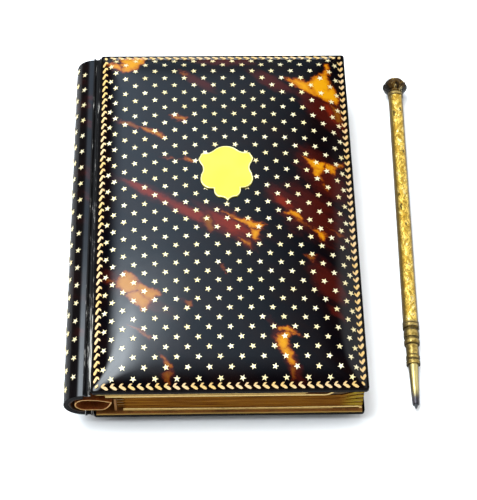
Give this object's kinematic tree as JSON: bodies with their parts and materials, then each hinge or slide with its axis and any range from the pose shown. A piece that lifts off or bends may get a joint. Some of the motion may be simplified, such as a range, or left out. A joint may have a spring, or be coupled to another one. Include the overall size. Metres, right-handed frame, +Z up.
{
  "type": "aide memoire case",
  "caption": "Book-form tortoiseshell notebook case with gold star inlay, a bare shield, leather pockets, hinged memo sections and a propelling pencil.",
  "frame": {"origin": "middle of the flat under the back cover, on which the shut case rests", "axes": "+X from the spine to the fore-edge, +Y from the tail to the head, +Z up out of the front cover"},
  "size_m": [0.0917, 0.1026, 0.0192],
  "materials": {
    "tortoiseshell": "polished dark tortoiseshell with amber and red-brown clouds",
    "pasteboard": "pressed board",
    "leather": "red-brown leather with worn pale edges",
    "welt_leather": "leather",
    "joint_leather": "black leather, rubbed",
    "cloth": "woven cloth",
    "paper": "aged leaves with gilt edges",
    "gold": "polished gold",
    "gilt_metal": "engraved gilt metal",
    "dark_gilt": "tarnished gilt metal",
    "steel": "plain",
    "graphite": "graphite lead"
  },
  "bodies": {
    "back_cover": {"back_board": "tortoiseshell", "back_core": "pasteboard", "back_lining": "leather", "back_pocket": "leather", "back_pocket_welts": "welt_leather", "memo_card": "pasteboard", "memo_strip": "cloth", "memo_section_4": "paper"},
    "spine": {"spine_shell": "tortoiseshell", "spine_lining": "leather", "spine_stars": "gold", "pencil_sleeve": "leather", "front_joint": "joint_leather", "back_joint": "joint_leather"},
    "front_cover": {"front_board": "tortoiseshell", "front_core": "pasteboard", "front_shield": "gold", "front_stars": "gold", "front_border": "gold", "front_lining": "leather", "front_pocket_inner": "leather", "front_pocket_outer": "leather", "front_pocket_welts": "welt_leather"},
    "section_1": {"memo_section_1": "paper"},
    "section_2": {"memo_section_2": "paper"},
    "section_3": {"memo_section_3": "paper"},
    "pencil": {"pencil_barrel": "gilt_metal", "barrel_rings": "gilt_metal"},
    "finial": {"pencil_finial": "dark_gilt"},
    "grip": {"pencil_grip": "gilt_metal", "nose_cone": "gilt_metal"},
    "carrier": {"lead_carrier": "steel", "pencil_lead": "graphite"}
  },
  "joints": [
    {"name": "spine_hinge", "type": "hinge", "parent": "back_cover", "child": "spine", "pos_m": [-0.034, 0, 0.00386], "axis": [0, -1, 0], "range_deg": [0, 66]},
    {"name": "front_hinge", "type": "hinge", "parent": "spine", "child": "front_cover", "pos_m": [-0.034, 0, 0.01486], "axis": [0, -1, 0], "range_deg": [0, 116]},
    {"name": "section_1_turn", "type": "hinge", "parent": "back_cover", "child": "section_1", "pos_m": [-0.02695, 0, 0.01078], "axis": [0, -1, 0], "range_deg": [0, 90]},
    {"name": "section_2_turn", "type": "hinge", "parent": "back_cover", "child": "section_2", "pos_m": [-0.02695, 0, 0.0094], "axis": [0, -1, 0], "range_deg": [0, 46]},
    {"name": "section_3_turn", "type": "hinge", "parent": "back_cover", "child": "section_3", "pos_m": [-0.02695, 0, 0.00803], "axis": [0, -1, 0], "range_deg": [0, 23]},
    {"name": "pencil_lift", "type": "slide", "parent": "back_cover", "child": "pencil", "axis": [0, 0, 1], "range_m": [0, 0.06]},
    {"name": "finial_pull", "type": "slide", "parent": "pencil", "child": "finial", "axis": [0.0227, 0.9996, 0.0179], "range_m": [0, 0.012]},
    {"name": "grip_turn", "type": "hinge", "parent": "pencil", "child": "grip", "pos_m": [0.0465, -0.02703, 0.0021], "axis": [0.0227, 0.9996, 0.0179], "range_deg": [-90, 360]},
    {"name": "lead_feed", "type": "slide", "parent": "grip", "child": "carrier", "axis": [-0.0227, -0.9996, -0.0179], "range_m": [-0.0021, 0.0081]}
  ],
  "couplings": [
    {"joint": "section_1_turn", "follows": "front_hinge", "ratio": 0.75},
    {"joint": "section_2_turn", "follows": "front_hinge", "ratio": 0.38},
    {"joint": "section_3_turn", "follows": "front_hinge", "ratio": 0.18},
    {"joint": "lead_feed", "follows": "grip_turn", "m_per_rad": 0.0012732}
  ]
}
